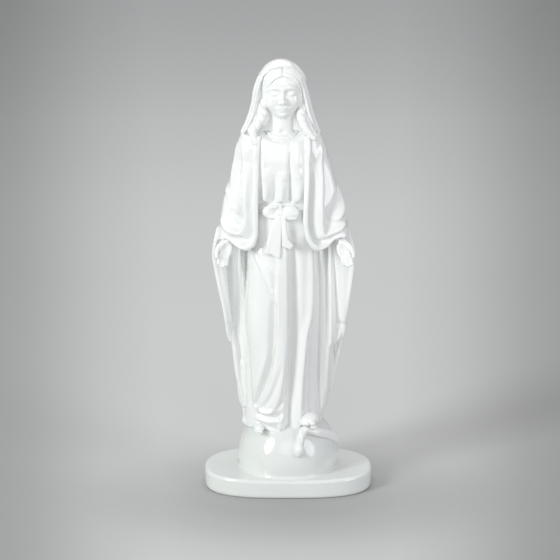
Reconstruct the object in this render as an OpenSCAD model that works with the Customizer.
/* [Part] */

/* [Plinth and globe] */
// Side-to-side width of the plinth
plinth_width = 117; // [110:1:124]
// Front-to-back depth of the plinth
plinth_depth = 76; // [72:1:84]
// Thickness of the plinth at its rim
plinth_height = 13; // [12:1:14]
// Radius of the rounded top edge of the plinth
plinth_edge = 3; // [1:0.5:4]
// Wall left round the recess under the plinth
plinth_wall = 6; // [4:0.5:9]
// Radius of the globe that the figure stands on
globe_radius = 35; // [34.5:0.1:35.5]
// Wall thickness of the globe
globe_wall = 4; // [3:0.5:6]

/* [Gown] */
// Wall thickness of the hollow skirt
gown_wall = 4; // [3:0.5:6]
// Strength of the pleats of the skirt
pleat_gain = 1; // [0:0.1:1.3]
// Height of the belt above the plinth's underside
waist_height = 203; // [202:0.5:204]
// Height of the belt band
belt_band = 5; // [4:0.5:6]

/* [Mantle] */
// Wall thickness of the mantle
mantle_wall = 3; // [2.5:0.5:4]
// Depth of the folds down the mantle's back
fold_depth = 1.1; // [0:0.1:1.6]
// Lowest point of the mantle's back
mantle_bottom = 57; // [54:1:64]
// Lowest tip of the falls under the hands
fall_bottom = 104; // [98:1:116]

/* [Head and hands] */
// Forward reach of the nose from the face
nose_reach = 2.2; // [1:0.1:3]
// Thickness of the hair locks
lock_radius = 3.4; // [2.5:0.1:3.8]
// Size of the hands
hand_size = 1; // [0.85:0.05:1.1]

/* [Hidden] */

// Right and left are the figure's own, so its right hand is on the -X side.
body_x = -4;
head_x = -4.6;
neck_radius = 8;
joint_gap = 0.1;
globe_z = plinth_height + 8;
front = 270;

// Outline tables: [height, value], each read with lookup().
gown_width = [[40, 28], [60, 26], [100, 26], [140, 27], [170, 25], [190, 20], [203, 16.5], [215, 18],
    [230, 19.5], [240, 18], [246, 12], [250, 9.4]];
gown_front = [[40, 26], [60, 23.5], [100, 22.5], [140, 22], [170, 19.5], [190, 15.5], [203, 12.5],
    [215, 15], [230, 15.5], [240, 13], [246, 10.5], [250, 9.2]];
gown_back = [[40, 22], [60, 20], [100, 19.5], [140, 19], [170, 17], [190, 14], [203, 12], [215, 13],
    [230, 14], [240, 13], [246, 10.5], [250, 9.2]];
mantle_width = [[50, 29.5], [57, 30.5], [74, 33], [103, 35], [118, 38], [133, 41.5], [154, 45],
    [165, 46.5], [176, 45], [189, 41.7], [203, 39.2], [217, 35.7], [230, 32.7], [240, 31]];
mantle_front = [[50, 24], [103, 23], [133, 22], [165, 25], [176, 26], [190, 25], [203, 23], [217, 21.5],
    [230, 19.5], [240, 17.5]];
mantle_rear = [[50, 24], [74, 25], [103, 26], [133, 26.5], [165, 26], [190, 24.5], [215, 22],
    [230, 19], [240, 17.5]];
hood_width = [[240, 31], [244.5, 29.5], [251, 26], [258, 22.8], [265, 20.6], [272, 19], [278, 18],
    [289, 14.5], [296, 10.5], [299, 5], [300, 0]];

// Skirt pleats: [angle from the front, height, half-width of the ridge in degrees]
pleats = [[1, 2.6, 7], [17, -2.8, 7], [-12, -2.6, 6], [-36, 2.4, 15], [29, 1, 5], [40, 2.2, 7],
    [60, -1.6, 8], [76, 2, 7]];

function mix(a, b, t) = a + (b - a) * t;
function clamp01(t) = max(0, min(1, t));
function smooth(t) = let (c = clamp01(t)) c * c * (3 - 2 * c);
function bell(x, w) = exp(-x * x / (w * w));
function unit(v) = v / max(norm(v), 1e-9);
function wrap(a) = ((a + 180) % 360 + 360) % 360 - 180;
function oval(a, w, d) = w * d / sqrt(pow(d * cos(a), 2) + pow(w * sin(a), 2));
function polar(a, r, z, cx = body_x) = [cx + r * cos(a), r * sin(a), z];

// Surface radii round the body's axis
function pleat(a, z) = pleat_gain * smooth((waist_height - 6 - z) / 40)
    * mix(0.45, 1, smooth((z - 44) / 40))
    * vsum([for (p = pleats) p[1] * bell(wrap(a - front - p[0]), p[2])]);
function vsum(v, i = 0) = i >= len(v) ? 0 : v[i] + vsum(v, i + 1);
function gown_r(a, z) = oval(a, lookup(z, gown_width), lookup(z, sin(a) < 0 ? gown_front : gown_back))
    + pleat(a, z);
function mantle_r(a, z) = oval(a, lookup(z, mantle_width), lookup(z, sin(a) < 0 ? mantle_front : mantle_rear))
    + fold_depth * cos(9 * (a - 90)) * smooth((235 - z) / 60) * smooth(sin(a) * 3);
function mantle_inner(a, z) = let (open = mantle_r(a, z) - mantle_wall, shut = gown_r(a, z) + joint_gap)
    mix(min(shut, open), open, smooth((open - shut - 1) / 5));
function globe_top(r) = globe_z + sqrt(max(pow(globe_radius, 2) - r * r, 0));

// Faces: grids of points with n points a row, and strips between two edges
function quad(a, b, c, d, turned) = turned ? [[a, b, c], [a, c, d]] : [[a, d, c], [a, c, b]];
function grid_faces(m, n, start, closed, turned) = [for (i = [0:m - 2]) for (j = [0:closed ? n - 1 : n - 2])
    let (k = (j + 1) % n, base = start + i * n)
    each quad(base + j, base + k, base + n + k, base + n + j, turned)];
function strip_faces(p, q, closed, turned) = [for (j = [0:len(p) - (closed ? 1 : 2)])
    let (k = (j + 1) % len(p))
    each quad(p[j], p[k], q[k], q[j], !turned)];
function fan_faces(ring, hub, turned) = [for (j = [0:len(ring) - 1])
    let (k = (j + 1) % len(ring))
    turned ? [ring[k], ring[j], hub] : [ring[j], ring[k], hub]];
function row(start, n) = [for (j = [0:n - 1]) start + j];
function column(start, m, n) = [for (i = [0:m - 1]) start + i * n];
function flat(rows) = [for (r = rows) each r];
function centre(ring) = [vsum([for (p = ring) p[0]]), vsum([for (p = ring) p[1]]), vsum([for (p = ring) p[2]])]
    / len(ring);

// Closed solid from a stack of rings
module ring_solid(rings) {
    m = len(rings);
    n = len(rings[0]);
    hubs = [centre(rings[0]), centre(rings[m - 1])];
    polyhedron(concat(flat(rings), hubs),
        concat(grid_faces(m, n, 0, true, false),
            fan_faces(row(0, n), m * n, false),
            fan_faces(row((m - 1) * n, n), m * n + 1, true)));
}

// Closed wall between an outer and an inner stack of rings, open through the middle
module ring_shell(outer, inner) {
    m = len(outer);
    n = len(outer[0]);
    s = m * n;
    polyhedron(concat(flat(outer), flat(inner)),
        concat(grid_faces(m, n, 0, true, false),
            grid_faces(m, n, s, true, true),
            strip_faces(row(0, n), row(s, n), true, false),
            strip_faces(row(s - n, n), row(2 * s - n, n), true, true)));
}

// Closed wall between an outer and an inner sheet, free on all four edges
module patch_shell(outer, inner) {
    m = len(outer);
    n = len(outer[0]);
    s = m * n;
    polyhedron(concat(flat(outer), flat(inner)),
        concat(grid_faces(m, n, 0, false, false),
            grid_faces(m, n, s, false, true),
            strip_faces(row(0, n), row(s, n), false, false),
            strip_faces(row(s - n, n), row(2 * s - n, n), false, true),
            strip_faces(column(0, m, n), column(s, m, n), false, true),
            strip_faces(column(n - 1, m, n), column(s + n - 1, m, n), false, false)));
}

// Tube along points [x, y, z, half-width, half-thickness]; the half-width lies square to hint
module sweep(path, hint = [0, -1, 0], sides = 16) {
    last = len(path) - 1;
    function at(i) = [path[i][0], path[i][1], path[i][2]];
    ring_solid([for (i = [0:last])
        let (t = unit(at(min(i + 1, last)) - at(max(i - 1, 0))),
            b = unit(hint - (hint * t) * t),
            w = cross(b, t))
        [for (j = [0:sides - 1])
            let (f = 360 * j / sides)
            at(i) + path[i][3] * cos(f) * w + path[i][4] * sin(f) * cross(t, w)]]);
}

// Plinth outline: a long oval with a flattened front
function plinth_r(a) = let (w = plinth_width / 2, d = plinth_depth / 2, e = sin(a) < 0 ? 2.9 : 2.3)
    1 / pow(pow(abs(cos(a)) / w, e) + pow(abs(sin(a)) / d, e), 1 / e);
function plinth_ring(inset, z, n = 64) = [for (j = [0:n - 1])
    let (a = 360 * j / n)
    polar(a, plinth_r(a) - inset, z, 0)];

module base_plinth() {
    recess = plinth_height - 5;
    edge = [for (f = [0:22.5:90]) [plinth_edge * (1 - cos(f)), plinth_height - plinth_edge * (1 - sin(f))]];
    outer = concat([plinth_ring(1.2, 0), plinth_ring(0, 1.2)], [for (e = edge) plinth_ring(e[0], e[1])]);
    inner = [for (k = [0:len(outer) - 1])
        plinth_ring(plinth_wall + (k > 0 ? 1.5 : 0), recess * k / (len(outer) - 1))];
    color("gainsboro")
    plinth_body(outer, inner);
}

module plinth_body(outer, inner) {
    m = len(outer);
    n = len(outer[0]);
    s = m * n;
    hubs = [centre(outer[m - 1]), centre(inner[m - 1])];
    polyhedron(concat(flat(outer), flat(inner), hubs),
        concat(grid_faces(m, n, 0, true, false),
            grid_faces(m, n, s, true, true),
            strip_faces(row(0, n), row(s, n), true, false),
            fan_faces(row(s - n, n), 2 * s, true),
            fan_faces(row(2 * s - n, n), 2 * s + 1, false)));
}

module globe() {
    color("whitesmoke")
    difference() {
        translate([0, 0, globe_z])
        sphere(r = globe_radius, $fn = 96);
        translate([0, 0, globe_z])
        sphere(r = globe_radius - globe_wall, $fn = 96);
        translate([0, 0, plinth_height - 100])
        cylinder(h = 100, r = 2 * globe_radius, $fn = 48);
    }
}

// Point lying on the globe, raised by the radius of what rests there
function on_globe(turn, rise, lift) = let (r = globe_radius + lift)
    [r * cos(rise) * cos(turn), r * cos(rise) * sin(turn), globe_z + r * sin(rise)];

// Serpent's course over the globe: [turn, rise, radius]
serpent_course = [[362, 8, 0.9], [354, 14, 1.5], [344, 20, 2], [332, 27, 2.4], [320, 33, 2.7], [308, 34, 2.8],
    [299, 31, 2.7], [291, 26, 2.3], [286, 19, 1.7]];

module serpent_body() {
    color("lightgray")
    sweep([for (s = serpent_course)
        let (p = on_globe(s[0], s[1], s[2] + joint_gap))
        [p[0], p[1], p[2], s[2], s[2]]], hint = [0, 0, 1], sides = 14);
}

module serpent_head() {
    steps = [[285.6, 17.6, 2.5], [285, 14.5, 3.3], [284.6, 11, 3.2], [284.4, 7.6, 2.4], [284.2, 5, 0.9]];
    color("silver")
    sweep([for (s = steps)
        let (p = on_globe(s[0], s[1], 1.6 + joint_gap))
        [p[0], p[1], p[2], s[2], min(s[2], 1.6)]], hint = [0, -1, 0.2], sides = 14);
}

// Foot: a low rounded form that points forward out of the hem
module foot(turn, top) {
    steps = [[0, 4.2, 3.2], [1.8, 4.8, 3.4], [3.6, 4.9, 3.1], [5.2, 4, 2.3], [6.4, 2.4, 1.4], [6.9, 0.9, 0.6]];
    start = gown_r(turn, top) + joint_gap;
    sweep([for (s = steps)
        let (p = polar(turn, start + s[0], top - s[0] * 0.3))
        [p[0], p[1], p[2], s[1], s[2]]], hint = [0, 0, 1], sides = 18);
}

module right_foot() {
    color("linen")
    foot(238, 47);
}

module left_foot() {
    color("linen")
    foot(313, 53);
}

// Skirt rings: the rim follows the globe, so the hem rests on it
function skirt_ring(k, rows, inset, n = 64) = [for (j = [0:n - 1])
    let (a = 360 * j / n, u = k / rows,
        rim_r = gown_r(a, 44) - inset,
        rim_x = norm([body_x + rim_r * cos(a), rim_r * sin(a)]),
        z = mix(globe_top(rim_x) + joint_gap, waist_height, u))
    polar(a, gown_r(a, z) - inset, z)];

module gown_skirt() {
    rows = 18;
    color("white")
    ring_shell([for (k = [0:rows]) skirt_ring(k, rows, 0)],
        [for (k = [0:rows]) skirt_ring(k, rows, gown_wall)]);
}

// The neckline is lower in front than behind
function neck_dip(a, z) = 2.6 * sin(a) * smooth((z - 238) / 12);

module gown_bodice() {
    steps = [waist_height + joint_gap, 208, 213, 218, 224, 230, 235, 240, 243, 246, 248, 250];
    n = 40;
    function bodice_ring(z, inner) = [for (j = [0:n - 1])
        let (a = 360 * j / n, r = gown_r(a, z))
        polar(a, inner ? max(neck_radius + joint_gap, r - 5.5) : r, z + neck_dip(a, z))];
    color("ivory")
    ring_shell([for (z = steps) bodice_ring(z, false)], [for (z = steps) bodice_ring(z, true)]);
}

module collar_band() {
    bands = [[250.1, 9.3], [250.8, 11], [251.8, 11.6], [252.6, 11], [253, 10.4], [253.6, 10.9], [254.4, 10.6],
        [254.9, 9.2]];
    color("white")
    ring_shell([for (b = bands) collar_ring(b[1], b[0])],
        [for (b = bands) collar_ring(neck_radius + joint_gap, b[0])]);
}

function collar_ring(r, z) = [for (j = [0:35])
    let (a = 10 * j)
    polar(a, r, z + neck_dip(a, z))];

module waist_belt() {
    low = waist_height - belt_band;
    bands = [[0, 0.9], [0.15, 1.6], [0.5, 1.9], [0.85, 1.6], [1, 0.9]];
    color("aliceblue")
    ring_shell([for (b = bands) belt_ring(low + b[0] * belt_band, b[1])],
        [for (b = bands) belt_ring(low + b[0] * belt_band, joint_gap)]);
}

function belt_ring(z, lift) = [for (j = [0:47])
    let (a = 360 * j / 48)
    polar(a, gown_r(a, z) + lift, z)];

belt_front = lookup(waist_height - belt_band / 2, gown_front) + 1.9;

module sash_bow() {
    loops = [[-17.3, 0.6, 199.6, 0.8], [-15.6, 1.4, 199.4, 3.2], [-12.5, 2, 199, 5], [-9, 1.8, 200, 4],
        [-6.8, 1.9, 201, 2.6], [-4.8, 2.6, 201.4, 3.6], [-2.6, 2.2, 200.6, 2.8], [0.5, 2, 198.8, 4.6],
        [4, 2.2, 197.4, 5.8], [6.8, 1.4, 197.6, 4], [8.6, 0.6, 198, 1]];
    color("white")
    sweep([for (p = loops) [p[0], -belt_front - p[1] - joint_gap - abs(p[0] + 4.5) * -0.12, p[2], p[3], p[1]]],
        hint = [0, -1, 0], sides = 16);
}

// Hanging ribbon: [x, z, half-width], kept just proud of the gown below it
module ribbon(course) {
    sweep([for (p = course)
        let (a = atan2(-lookup(p[1], gown_front), p[0] - body_x), r = gown_r(a, p[1]) + 2.4)
        [p[0], r * sin(a) - 0.6, p[1], p[2], 1.3]], hint = [0, -1, 0], sides = 12);
}

module sash_tail_right() {
    color("white")
    ribbon([[-5.6, 194.4, 2.4], [-8, 186, 3.4], [-9.6, 178, 4.2], [-10.8, 170, 4.8], [-11.6, 163, 5.2],
        [-11.7, 161.8, 4.6]]);
}

module sash_tail_left() {
    color("white")
    ribbon([[-2.2, 192, 2], [-1.6, 186, 2.4], [-0.6, 180, 3], [0.4, 174, 3.4], [0.8, 169, 3.6], [0.9, 168, 3]]);
}

// Head and neck: [height, half-width, front reach, back reach]
head_steps = [[243, 8, 8, 8], [250, 8, 8, 8], [254, 7.8, 7.8, 7.8], [258, 7.8, 7.8, 8.4],
    [260.5, 8.4, 10.4, 9.4], [263, 9.2, 12.4, 10.6], [265.5, 10.2, 13.2, 11.6], [268, 11.1, 13.4, 12.2],
    [270.5, 11.9, 13.4, 12.6], [273, 12.6, 13.3, 12.8], [275.5, 13, 13.2, 12.9], [278, 13.2, 13, 12.9],
    [280.5, 13.3, 13, 12.8], [283, 13.2, 12.8, 12.4], [286, 12.7, 12.2, 11.6], [289, 11.6, 10.8, 10.2],
    [291.5, 9.8, 8.8, 8.2], [293.5, 7.2, 6.4, 5.8], [295, 4, 3.6, 3.2]];

function face_relief(a, z) = let (d = wrap(a - front))
    nose_reach * bell(d, 9) * smooth((z - 267.5) / 2.5) * smooth((279 - z) / 9)
    - 0.9 * (bell(d - 27, 11) + bell(d + 27, 11)) * bell(z - 277, 2.6)
    + 0.7 * bell(d, 14) * bell(z - 266.5, 1.6);

module head() {
    color("seashell")
    ring_solid([for (h = head_steps)
        [for (j = [0:47])
            let (a = 360 * j / 48,
                r = oval(a, h[1], sin(a) < 0 ? h[2] : h[3]) + face_relief(a, h[0]))
            polar(a, r, h[0], h[0] < 256 ? body_x : head_x)]]);
}

// Hair lock that waves down from the temple to the collar
module lock(side) {
    steps = 13;
    sweep([for (k = [0:steps])
        let (u = k / steps, z = mix(277, 245.6, u),
            x = mix(14.6, 15.5, u) + 4.6 * smooth((u - 0.35) * 1.8) + 0.9 * sin(560 * u),
            y = -3.6 - 3.4 * smooth(u * 1.6) - 3.8 * smooth((u - 0.5) * 2),
            r = lock_radius * (0.45 + 0.55 * sin(min(u * 260, 100))) * (u > 0.9 ? 0.72 : 1))
        [head_x + side * x, y, z, r * 0.62, r * 0.62]], hint = [0, -1, 0], sides = 12);
}

module hair_right() {
    color("linen")
    lock(-1);
}

module hair_left() {
    color("linen")
    lock(1);
}

// Hood arches from the front rim to the back: [y at the shoulder, y at the crown, width factor, height factor]
hood_arches = [[-14.5, -9.5, 0.9, 0.94], [-13.5, -8.6, 0.94, 0.965], [-8.5, -5, 0.98, 0.99], [-1, -0.5, 1, 1],
    [6, 4, 0.985, 0.99], [10.5, 7.4, 0.93, 0.965], [13.6, 10.4, 0.84, 0.92], [15.8, 13, 0.7, 0.85],
    [17.2, 15.2, 0.5, 0.74], [17.9, 16.8, 0.28, 0.58]];
hood_spans = 32;
crown_height = 300;
shoulder_height = 240;

function hood_arch(h, narrow, lower, squash) = [for (j = [0:hood_spans])
    let (t = 2 * j / hood_spans - 1,
        rise = 1 - pow(abs(t), 1.75),
        z = mix(shoulder_height, crown_height, rise),
        y = mix(h[0], h[1], rise))
    [head_x + sign(t) * lookup(z, hood_width) * h[2] * narrow,
        y * (y > 0 ? squash : 1),
        mix(shoulder_height + joint_gap, crown_height, rise * h[3] * lower)]];

module mantle_hood() {
    outer = [for (h = hood_arches) hood_arch(h, 1, 1, 1)];
    inner = [for (h = hood_arches) hood_arch(h, 0.885, 0.95, 0.82)];
    m = len(outer);
    n = hood_spans + 1;
    s = m * n;
    hubs = [centre(outer[m - 1]), centre(inner[m - 1])];
    function rim(base) = concat(column(base, m, n), [for (i = [m - 1:-1:0]) base + i * n + n - 1]);
    color("white")
    polyhedron(concat(flat(outer), flat(inner), hubs),
        concat(grid_faces(m, n, 0, false, false),
            grid_faces(m, n, s, false, true),
            strip_faces(row(0, n), row(s, n), false, false),
            strip_faces(rim(0), rim(s), false, true),
            fan_faces(row(s - n, n), 2 * s, true),
            fan_faces(row(2 * s - n, n), 2 * s + 1, false)));
}

// Mantle sheets between two angles, with heights given as functions of the place across
module mantle_back() {
    rows = 16;
    cols = 40;
    top = shoulder_height;
    function sheet(inner) = [for (i = [0:rows]) [for (j = [0:cols])
        let (a = mix(-2, 182, j / cols),
            low = mantle_bottom + 3 * pow(cos(a), 2),
            z = mix(low, top, i / rows))
        polar(a, inner ? mantle_inner(a, z) : mantle_r(a, z), z)]];
    color("white")
    patch_shell(sheet(false), sheet(true));
}

// Front panel over one arm: side angle, then the free edge angle by height
module front_panel(side, edge) {
    rows = 14;
    cols = 18;
    function sheet(inner) = [for (i = [0:rows]) [for (j = [0:cols])
        let (v = j / cols, u = i / rows,
            across = side < front ? v : 1 - v,
            low = 172 + 6 * pow(2 * across - 1, 2),
            z = mix(low, shoulder_height, u),
            free = lookup(z, edge),
            a = side < front ? mix(side, free, v) : mix(free, side, v),
            folds = 1.6 * cos(3 * 360 * across) * smooth((238 - z) / 30),
            hem = 1.2 * smooth((low + 8 - z) / 8))
        polar(a, mantle_r(a, z) + folds + hem - (inner ? mantle_wall : 0), z)]];
    patch_shell(sheet(false), sheet(true));
}

module mantle_front_right() {
    color("white")
    front_panel(182.3, [[172, 238], [200, 238], [230, 232], [240, 226]]);
}

module mantle_front_left() {
    color("white")
    front_panel(357.7, [[172, 299], [200, 300], [230, 306], [240, 313]]);
}

// Fall of the mantle from the forearm, narrowing to a tip
module fall(start, sweep_angle) {
    rows = 12;
    cols = 10;
    function sheet(inner) = [for (i = [0:rows]) [for (j = [0:cols])
        let (v = j / cols, u = i / rows,
            across = sweep_angle > 0 ? v : 1 - v,
            low = mix(fall_bottom - 2, fall_bottom + 14, across),
            z = mix(low, 170, u),
            a = mix(start, start + sweep_angle, across),
            wave = 1.1 * sin(400 * across))
        polar(a, mantle_r(a, z) + wave - (inner ? mantle_wall : 0), z)]];
    patch_shell(sheet(false), sheet(true));
}

module mantle_fall_right() {
    color("white")
    fall(182.3, 22);
}

module mantle_fall_left() {
    color("white")
    fall(357.7, -22);
}

// Arm inside the mantle: [x from the axis, y, z, radius]
arm_course = [[20, 0, 234, 4], [25, 1, 215, 6], [27.5, 0, 197, 6.5], [29.5, -5, 184, 5.2],
    [32, -9, 177.5, 4.4]];

module sleeve(side) {
    sweep([for (p = arm_course) [body_x + side * p[0], p[1], p[2], p[3], p[3]]], hint = [0, -1, 0], sides = 18);
}

module sleeve_right() {
    color("ghostwhite")
    sleeve(-1);
}

module sleeve_left() {
    color("ghostwhite")
    sleeve(1);
}

// Open hand: rings from wrist to fingertips with four finger ridges
hand_course = [[32.4, -9.7, 176.8, 3.4, 3], [35, -13, 172, 4.2, 3], [38, -16.4, 167, 5.6, 2.8],
    [40, -18.6, 163, 6, 2.5], [41.6, -20.4, 159, 5.6, 2.1], [43, -22, 155, 4.6, 1.7], [43.8, -23, 152.4, 2, 0.9]];

module hand(side) {
    n = 32;
    last = len(hand_course) - 1;
    function at(i) = [body_x + side * hand_course[i][0], hand_course[i][1], hand_course[i][2]];
    ring_solid([for (i = [0:last])
        let (t = unit(at(min(i + 1, last)) - at(max(i - 1, 0))),
            palm = unit([side * 0.25, -1, 0.1]),
            b = unit(palm - (palm * t) * t),
            w = cross(b, t),
            ridged = smooth((i - 1.5) / 2))
        [for (j = [0:n - 1])
            let (f = 360 * j / n,
                ridge = 1 - 0.2 * ridged * (0.5 + 0.5 * cos(4 * 180 * cos(f))))
            at(i) + hand_size * (hand_course[i][3] * cos(f) * w
                + hand_course[i][4] * ridge * sin(f) * cross(t, w))]]);
    thumb = [[34.4, -16.8, 169, 1.5], [33.6, -19.4, 165.6, 1.7], [33.8, -21.8, 162, 1.5], [34.4, -23.4, 159.6, 0.9]];
    sweep([for (p = thumb) [body_x + side * p[0], p[1], p[2], p[3] * hand_size, p[3] * hand_size]],
        hint = [0, 1, 0.3], sides = 10);
}

module hand_right() {
    color("seashell")
    hand(-1);
}

module hand_left() {
    color("seashell")
    hand(1);
}

base_plinth();
globe();
serpent_body();
serpent_head();
right_foot();
left_foot();
gown_skirt();
gown_bodice();
collar_band();
waist_belt();
sash_bow();
sash_tail_right();
sash_tail_left();
head();
hair_right();
hair_left();
mantle_hood();
mantle_back();
mantle_front_right();
mantle_front_left();
mantle_fall_right();
mantle_fall_left();
sleeve_right();
sleeve_left();
hand_right();
hand_left();
